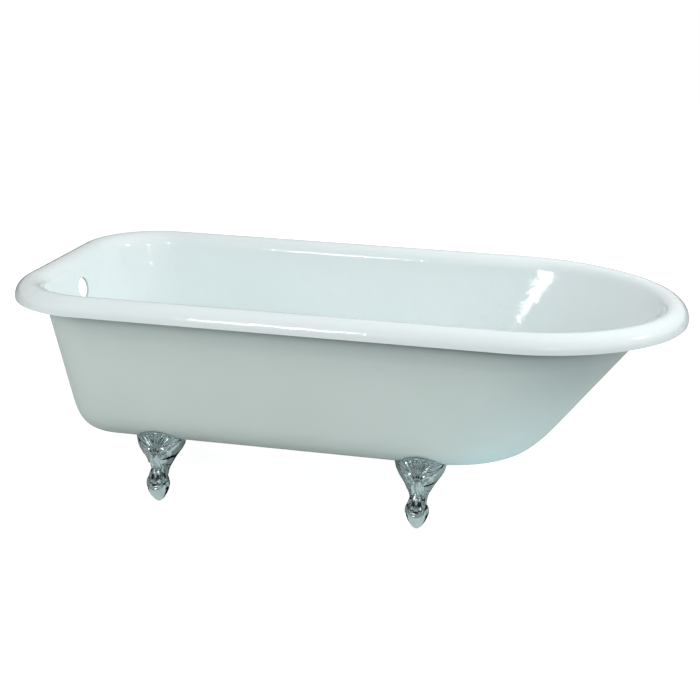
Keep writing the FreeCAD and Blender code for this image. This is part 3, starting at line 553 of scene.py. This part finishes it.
def carving(x, z, below):
    """Height of the ornament on the foot's front, at a distance below the fan's top edge."""
    up, side = z - FOCUS, np.abs(x)
    radius = np.hypot(x, up)
    angle = np.degrees(np.arctan2(side, np.maximum(up, 1e-6)))
    # the palmette's border bends outward as it rises
    border = np.radians(42 + 20 * rise(radius - 10, 36))
    outside = side * np.cos(border) - up * np.sin(border)
    inside = rise(-outside, 2.5) * rise(radius - 5, 5) * (up > 0)
    # petals 15 degrees apart that fan out to the rolled edge
    depth, petals = np.minimum(2.0, radius * 0.07), 24.0
    height = inside * depth * np.cos(np.radians(angle * petals)) * rise(below - 6.5, 3.0)
    height += 2.6 * bell(below - 2.8, 2.8) - 2.8 * bell(below - 7.4, 2.0)
    height += 0.6 * bell(outside - 0.5, 2.2) * rise(radius - 8, 8) * rise(below - 6, 3)
    # wings: smooth lobes with soft rings that curl round an eye at their lower inner end
    wing = rise(outside, 10.0) * rise(up + 26, 12) * rise(below - 6, 3)
    eye, ring_step = np.hypot(side - 25, z - 137), 11.5
    height += wing * (2.0 + 4.5 * bell(np.hypot(side - 40, (z - 152) * 0.8), 20))
    height += wing * 0.9 * np.cos(2 * np.pi * (eye - 3) / ring_step) * rise(35 - eye, 16)
    # a knob where the petals meet
    height += 3.0 * bell(radius, 6.5)
    # leg: a ridge down the middle with a groove at each side, and a leaf's edge outside them
    shin = rise(137 - z, 10) * rise(z - 66, 12)
    bent = x - shin_bend(z)
    grooves = 2.0 * bell(np.abs(bent) - 8.0, 3.0)
    height += shin * (4.2 * bell(bent, 3.6) - grooves + 2.2 * bell(side - 15.5, 4.0))
    # the wing's lower end stands over the leg, with a dark cleft under it
    run, climb, length = 14, 13, 19.1
    across = ((side - 18) * run + (z - 104) * climb) / length
    along = ((side - 18) * climb - (z - 104) * run) / length
    reach = rise(along + 3, 3) * rise(24 - along, 3)
    return height + reach * (3.0 * bell(across - 4.5, 3.5) - 7.0 * bell(across, 2.5))


def foot_panel():
    """The fan and leg as one closed sheet with a carved front and a plain back."""
    n_u, n_v = 151, 160
    edge_share, edge_drop = 0.1, 2.8
    t = np.linspace(-1, 1, n_u)
    verts = []
    for back in (False, True):
        for v in np.linspace(0, 1, n_v):
            z = LEG_LOW + (crest(t) - LEG_LOW) * v
            half, front, wing, depth = foot_shape(z)
            x = half * t
            if back:
                y = front + depth
                wing_back = wing + 14.0 * bell(z - 135, 34) + 5.0
                y = y + (wing_back - y) * t ** 2
            else:
                fade = np.clip((1 - np.abs(t)) / edge_share, 0, 1)
                edge = np.clip((np.abs(t) - 0.9) / edge_share, 0, 1)
                y = front + (wing - front) * t ** 2 - carving(x, z, crest(t) - z) * fade
                y = y + edge_drop * (1 - np.sqrt(1 - edge ** 2))
            verts += [(float(a), float(b), float(c)) for a, b, c in zip(x, y, z)]
    size = n_u * n_v
    faces = []
    for v in range(n_v - 1):
        for u in range(n_u - 1):
            a = v * n_u + u
            faces.append((a, a + 1, a + n_u + 1, a + n_u))
            faces.append((size + a + n_u, size + a + n_u + 1, size + a + 1, size + a))
        for u in (0, n_u - 1):
            a, b = v * n_u + u, (v + 1) * n_u + u
            quad = (a, b, size + b, size + a)
            faces.append(quad if u == 0 else quad[::-1])
    for v in (0, n_v - 1):
        for u in range(n_u - 1):
            a = v * n_u + u
            quad = (a + 1, a, size + a, size + a + 1)
            faces.append(quad if v == 0 else quad[::-1])
    obj = make_object("panel", verts, faces)
    outward(obj)
    return obj


# half profile of the egg that the claws hold: radius, height
EGG = [(0, 0.6), (5.4, 0.8), (8.6, 2.0), (12.4, 6.0), (16.6, 12.0), (20.6, 18.5), (24.0, 25.0),
       (26.6, 31.5), (27.6, 35.5), (27.4, 38.0), (28.8, 41.0), (29.6, 44.5), (29.2, 51.0),
       (27.4, 57.5), (24.3, 64.0), (20.3, 70.0), (14.5, 75.5), (8.0, 78.5), (0, 79.5)]
# down a claw: height, distance outside the egg, radius
TALON = [(96, -15.0, 5.0), (88, -12.5, 6.4), (80, -9.6, 7.6), (72, -8.0, 8.6), (64, -7.4, 9.2),
         (56, -6.8, 9.0), (49, -5.2, 7.4), (43, -2.6, 4.4), (39, -0.9, 1.8)]
TALON_ANGLES = (-27, 27, -82, 82, -140, 140)
# across the front claws' lower edge: angle from the front, height, radius
TOE = [(-44, 53, 1.8), (-32, 49, 3.8), (-17, 45, 5.8), (0, 43.5, 6.6), (17, 45, 5.8),
       (32, 49, 3.8), (44, 53, 1.8)]
# down the ridge on the leg: front, height, radius
SPINE = [(-19, 134, 2.0), (-18.5, 126, 2.8), (-17, 116, 3.2), (-14.5, 106, 3.4), (-12.5, 97, 3.6),
         (-12.5, 88, 4.2), (-15.5, 79, 4.8), (-19.5, 70, 4.6), (-23, 62, 3.4)]
# the volute's tail over the wing: distance from the middle, height, radius
TAIL = [(50, 158, 0.8), (42, 154, 1.4), (34, 148, 1.8)]


def turned(name, profile, n=64):
    """A solid of revolution; the profile's two ends on the axis are closed by flat caps."""
    rings = []
    for r, z in profile[1:-1]:
        rings.append([(r * cos(360 * k / n), r * sin(360 * k / n), z) for k in range(n)])
    return solid(name, rings)


def refine(points, n):
    """A smooth curve through rows of numbers, as n samples of a Catmull-Rom spline."""
    pts = np.array(points, dtype=float)
    pts = np.vstack([2 * pts[0] - pts[1], pts, 2 * pts[-1] - pts[-2]])
    out = []
    for k in range(n):
        s = k / (n - 1) * (len(pts) - 3)
        i = min(int(s), len(pts) - 4)
        t = s - i
        a, b, c, d = pts[i:i + 4]
        out.append(0.5 * (2 * b + (c - a) * t + (2 * a - 5 * b + 4 * c - d) * t ** 2
                          + (3 * b - a - 3 * c + d) * t ** 3))
    return np.array(out)


def swept(name, points, n, m):
    """A closed tube along (x, y, z, radius) points, with n rings of m points."""
    least_radius = 0.3
    path = refine(points, n)
    rings = []
    for k in range(n):
        ahead = path[min(k + 1, n - 1), :3] - path[max(k - 1, 0), :3]
        ahead /= np.linalg.norm(ahead)
        ref = (0.0, -1.0, 0.0) if abs(ahead[1]) < 0.9 else (0.0, 0.0, 1.0)
        side = np.cross(ahead, np.array(ref))
        side /= np.linalg.norm(side)
        top = np.cross(side, ahead)
        r = max(path[k, 3], least_radius)
        turns = [360 * j / m for j in range(m)]
        rings.append([tuple(path[k, :3] + side * r * cos(a) + top * r * sin(a)) for a in turns])
    return solid(name, rings)


def egg_radius(z):
    return float(np.interp(z, [p[1] for p in EGG], [p[0] for p in EGG]))


def round_egg(rows):
    """Turns rows of angle from the front, reach, height and radius into places."""
    return [(reach * sin(angle), -reach * cos(angle), z, r) for angle, reach, z, r in rows]


def talon(angle):
    """A smooth claw from the ankle down over the egg, lying close to it."""
    ankle = 66
    rows = [(angle, egg_radius(min(z, ankle)) + out, z, r) for z, out, r in TALON]
    return swept("talon", round_egg(rows), 44, 20)


def toe():
    """The thick lower edge of the front claws: a crescent across the egg."""
    rows = [(angle, egg_radius(z) - 0.8, z, r) for angle, z, r in TOE]
    return swept("toe", round_egg(rows), 50, 20)


def front_of(x, z):
    """The foot's front without its ornament, as y."""
    half, front, wing, _ = foot_shape(z)
    t = min(abs(x) / half, 1)
    return front + (wing - front) * t ** 2


def scroll(side):
    """A volute at the wing's lower inner end: a tail and a spiral with a raised eye."""
    eye_x, eye_z, size, turns, start = 26, 134, 10.5, 1.35, 75
    shrink, sunk, raised = 0.82, 1.2, 1.6
    first_radius, last_radius = 2.0, 2.6
    rows = [(side * x, front_of(x, z) - sunk, z, r) for x, z, r in TAIL]
    n = 14
    for k in range(n + 1):
        t = k / n
        a = start + 360 * turns * t
        rad = size * (1 - shrink * t)
        x, z = eye_x + rad * cos(a), eye_z + rad * sin(a)
        r = first_radius + (last_radius - first_radius) * t
        rows.append((side * x, front_of(x, z) - sunk - raised * t, z, r))
    return swept("scroll", rows, 70, 14)


def spine():
    """The ridge down the leg, which bends above the ankle."""
    ankle = 76
    rows = [(float(shin_bend(z)) * (z > ankle), y, z, r) for y, z, r in SPINE]
    return swept("spine", rows, 60, 18)


def tongue():
    """The flat tongue that the bolt holds under the boss."""
    return block("tongue", (-23, -8.0, 125), (23, FOOT_Y - 172.0, 133))


def web():
    """A rib between the leg's back and the tongue."""
    outline = [(0, 84), (18, 84), (34, 126), (0, 126)]
    return solid("web", [[(x, y, z) for y, z in outline] for x in (-4.5, 4.5)])


def foot_detail():
    """Every part of one foot that is joined into its casting."""
    parts = [foot_panel(), turned("egg", EGG)]
    parts += [talon(angle) for angle in TALON_ANGLES] + [toe()]
    parts += [scroll(side) for side in SIDES]
    return parts + [spine(), tongue(), web()]


def join_parts(name, parts):
    bm = bmesh.new()
    for part in parts:
        bm.from_mesh(part.data)
        bpy.data.objects.remove(part)
    mesh = bpy.data.meshes.new(name)
    bm.to_mesh(mesh)
    bm.free()
    return link_object(name, mesh)


def cast_foot():
    """The joined, softened casting of a foot at the origin, before it is ground to the bowl."""
    obj = join_parts("foot_cast", foot_detail())
    mod = obj.modifiers.new("cast", "REMESH")
    mod.mode = "VOXEL"
    mod.voxel_size = 0.0009
    mod = obj.modifiers.new("soft", "SMOOTH")
    mod.factor = 0.5
    mod.iterations = 7
    bake(obj)
    return obj


# holes in a foot, drilled while it stands on the near side: y, height, radius, half depth
FOOT_HOLES = {"bolt_hole": (-BOLT_Y, 129, 5.5, 8), "recess": (-FOOT_Y, 3, 6.3, 3.1),
              "screw_bore": (-FOOT_Y, 22, 4.05, 21)}
SEAT_GAP = 0.4


def place_foot(cast, end, sign):
    """One foot in its place, ground to the bowl, drilled and recessed."""
    x0 = FEET_X[end]
    mesh = cast.data.copy()
    obj = link_object(f"claw_foot_{end}_{SIDES[sign]}", mesh)
    mesh.transform(Matrix.Translation((x0 / 1000, -FOOT_Y / 1000, 0)))
    cut(obj, seat_solid(SEAT_GAP))
    for name, (y, z, r, half) in FOOT_HOLES.items():
        cut(obj, cylinder(name, x0, y, z, r, half, n=48))
    if sign > 0:
        obj.data.transform(Matrix.Scale(-1, 4, (0, 1, 0)))
        obj.data.flip_normals()
    obj.data.materials.clear()
    obj.data.materials.append(CHROME)
    smooth(obj, 50)
    return obj


# ---------------------------------------------------------------- stage, light and camera

def stage_plane(name, centre, size_x, size_y, normal, material):
    """A flat card of the studio, in metres."""
    mesh = bpy.data.meshes.new(name)
    bm = bmesh.new()
    bmesh.ops.create_grid(bm, x_segments=1, y_segments=1, size=0.5)
    bm.to_mesh(mesh)
    bm.free()
    obj = link_object(name, mesh)
    rot = Vector(normal).to_track_quat("Z", "Y").to_matrix().to_4x4()
    mesh.transform(Matrix.Translation(centre) @ rot @ Matrix.Diagonal((size_x, size_y, 1, 1)))
    mesh.materials.append(material)
    return obj


def matt(shader, tone, roughness):
    shader.inputs["Base Color"].default_value = grey(tone)
    shader.inputs["Roughness"].default_value = roughness
    shader.inputs["Specular IOR Level"].default_value = 0.0


def floor_material():
    """A pale floor with a glow that only the camera sees, which makes it white."""
    tone, glow_level = 0.61, 0.84
    mat, nodes, links, shader = new_material("studio_floor")
    matt(shader, tone, 0.9)
    path = nodes.new("ShaderNodeLightPath")
    level = map_range(nodes, links, path.outputs["Is Camera Ray"], (0.0, 1.0), (0.0, glow_level))
    glow = nodes.new("ShaderNodeEmission")
    links.new(level.outputs["Result"], glow.inputs["Strength"])
    both = nodes.new("ShaderNodeAddShader")
    links.new(shader.outputs["BSDF"], both.inputs[0])
    links.new(glow.outputs["Emission"], both.inputs[1])
    links.new(both.outputs["Shader"], nodes["Material Output"].inputs["Surface"])
    return mat


def soft_lamp(name, place, target, size_x, size_y, power, color=(1, 1, 1), mirrored=True):
    """A soft box that looks at the target; it shows in mirrors only if mirrored."""
    data = bpy.data.lights.new(name, "AREA")
    data.shape = "RECTANGLE"
    data.size, data.size_y = size_x, size_y
    data.energy = power
    data.color = color
    obj = link_object(name, data)
    obj.location = place
    obj.rotation_euler = (Vector(target) - Vector(place)).to_track_quat("-Z", "Y").to_euler()
    obj.visible_camera = False
    obj.visible_glossy = mirrored


def reflector(name, place, size_x, size_y, normal, tone, glow=0.0):
    """A studio card, dark or glowing, that only mirrors meet."""
    mat, _, _, shader = new_material(name)
    matt(shader, tone, 1.0)
    shader.inputs["Emission Color"].default_value = (1, 1, 1, 1)
    shader.inputs["Emission Strength"].default_value = glow
    obj = stage_plane(name, place, size_x, size_y, normal, mat)
    obj.visible_camera = False
    obj.visible_diffuse = False
    obj.visible_shadow = False


def mirrored_studio():
    """Cards on the floor and flags round it, from far to near: what the chrome mirrors."""
    up = (0, 0, 1)
    clear_x, clear_y, far, high = 1.5, 0.9, 4.6, 1.0
    cloth, flag, under, bright, dark = 0.4, 0.05, 0.02, 0.5, 0.12
    for k, (sx, sy) in enumerate(((0, -1), (0, 1), (-1, 0), (1, 0))):
        inner = clear_y if sy else clear_x
        wide, middle = far - inner, (far + inner) / 2
        size = (2 * far, wide) if sy else (wide, 2 * inner)
        level = 0.004 + 0.001 * k
        reflector(f"floor_cloth_{k}", (sx * middle, sy * middle, level), *size, up, cloth)
        reflector(f"flag_{k}", (sx * far, sy * far, high / 2), 2 * far, high, (-sx, -sy, 0), flag)
    for side in SIDES:
        # black cards under the tub round each foot, seen only in mirrors: painted shade, the
        # floor's shadow under the tub as the chrome mirrors it
        for end, x in FEET_X.items():
            place = (x / 1000, side * 0.14, 0.001)
            reflector(f"floor_shade_card_{end}_{side}", place, 0.18, 0.22, up, under)
        # a glowing card along each side, seen only in mirrors and lighting nothing: a painted
        # reflection of a bright floor under the feet
        reflector(f"lit_floor_card_{side}", (0, side * 0.30, 0.002), 1.8, 0.11, up, bright, bright)
        for k, (y, wide) in enumerate(((0.42, 0.05), (0.66, 0.08))):
            reflector(f"dark_card_{side}_{k}", (0, side * y, 0.003), 3.0, wide, up, dark)


def build_world():
    """A white surround, weaker for the light it sheds and for mirrors than for the camera."""
    shed, mirrored, seen = 0.27, 0.5, 1.0
    world = bpy.data.worlds.new("studio")
    world.use_nodes = True
    nodes, links = world.node_tree.nodes, world.node_tree.links
    background = nodes["Background"]
    background.inputs["Color"].default_value = (1, 1, 1, 1)
    path = nodes.new("ShaderNodeLightPath")
    others = map_range(nodes, links, path.outputs["Is Glossy Ray"], (0.0, 1.0), (shed, mirrored))
    level = map_range(nodes, links, path.outputs["Is Camera Ray"], (0.0, 1.0), (0.0, seen))
    links.new(others.outputs["Result"], level.inputs["To Min"])
    links.new(level.outputs["Result"], background.inputs["Strength"])
    bpy.context.scene.world = world


def build_camera():
    """The photograph's camera, as fitted to it."""
    azimuth, elevation, roll = 9.0834, 17.7952, 1.8946
    place, focal_px, picture_px = (0.5275, -2.7839, 1.3385), 1132.84, 700
    back = Vector((sin(azimuth) * cos(elevation), -cos(azimuth) * cos(elevation), sin(elevation)))
    right = Vector((cos(azimuth), sin(azimuth), 0))
    up = back.cross(right)
    x_axis = right * cos(roll) + up * sin(roll)
    y_axis = -right * sin(roll) + up * cos(roll)
    data = bpy.data.cameras.new("camera")
    data.sensor_width = 36
    data.lens = focal_px / picture_px * data.sensor_width
    data.shift_x, data.shift_y = -0.0544, -0.0288
    data.clip_end = 100
    obj = link_object("camera", data)
    turn = Matrix((x_axis, y_axis, back)).transposed().to_4x4()
    obj.matrix_world = Matrix.Translation(place) @ turn
    bpy.context.scene.camera = obj


# ---------------------------------------------------------------- the scene

def dress():
    """The visual model: what rides on which body and which nodes it replaces."""
    tub = build_tub()
    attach(tub, "tub")
    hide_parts("tub_shell")
    for end, x in FEET_X.items():
        for sign, side in SIDES.items():
            boss = build_boss(f"boss_{end}_{side}", x, sign)
            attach(boss, "tub")
    cast = cast_foot()
    for end in FEET_X:
        for sign, side in SIDES.items():
            foot = place_foot(cast, end, sign)
            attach(foot, "tub")
            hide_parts(f"foot_{end}_{side}")
    bpy.data.objects.remove(cast)
    for name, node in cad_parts.items():
        if name.startswith(("foot_bolt", "foot_washer", "foot_nut", "leveller")):
            for slot in node.material_slots:
                slot.material = NYLON if "glide" in name else ZINC


# the lamps that give the plain light: place and power; mirrors don't show them
FILL_LAMPS = {
    "right_behind": ((2.6, 0.6, 2.4), 31), "right_front": ((1.1, -2.4, 2.9), 30.5),
    "right_top": ((2.0, -0.5, 3.0), 13), "behind_top": ((0, 2.2, 2.6), 23),
    "left_front": ((-2.2, -2.2, 1.6), 10), "left_low": ((-2.6, -1.0, 0.5), 9),
    "right": ((2.3, -0.1, 3.1), 10)}
FILL_SIZE, FILL_TARGET = 1.4, (0, 0, 0.35)
# colour of the faint light from below on the low part of the sloping back
FLOOR_BLUE = (0.55, 0.86, 1)
# the soft boxes that the enamel mirrors: place, target, two sizes and power
SOFT_BOXES = {
    "box": ((-0.62, -2.15, 1.3), (-0.1, 0.2, 0.5), 0.68, 0.44, 8),
    "end_box": ((3.1, -0.1, 1.9), (-0.7, 0.2, 0.5), 0.5, 0.45, 6),
    "glint": ((1.5, -2.4, 1.25), (0.4, 0, 0.5), 0.4, 0.2, 1.6)}


def light():
    for name, (place, power) in FILL_LAMPS.items():
        soft_lamp(name, place, FILL_TARGET, FILL_SIZE, FILL_SIZE, power, mirrored=False)
    soft_lamp("floor_right", (0.52, -0.3, 0.02), (0.52, -0.25, 1), 0.5, 0.3, 0.42, FLOOR_BLUE,
              mirrored=False)
    for name, box in SOFT_BOXES.items():
        soft_lamp(name, *box)


dress()
build_world()
build_camera()
stage_plane("studio_floor", (0, 0, 0), 60, 60, (0, 0, 1), floor_material())
light()
mirrored_studio()
view = bpy.context.scene.view_settings
view.view_transform = "Standard"
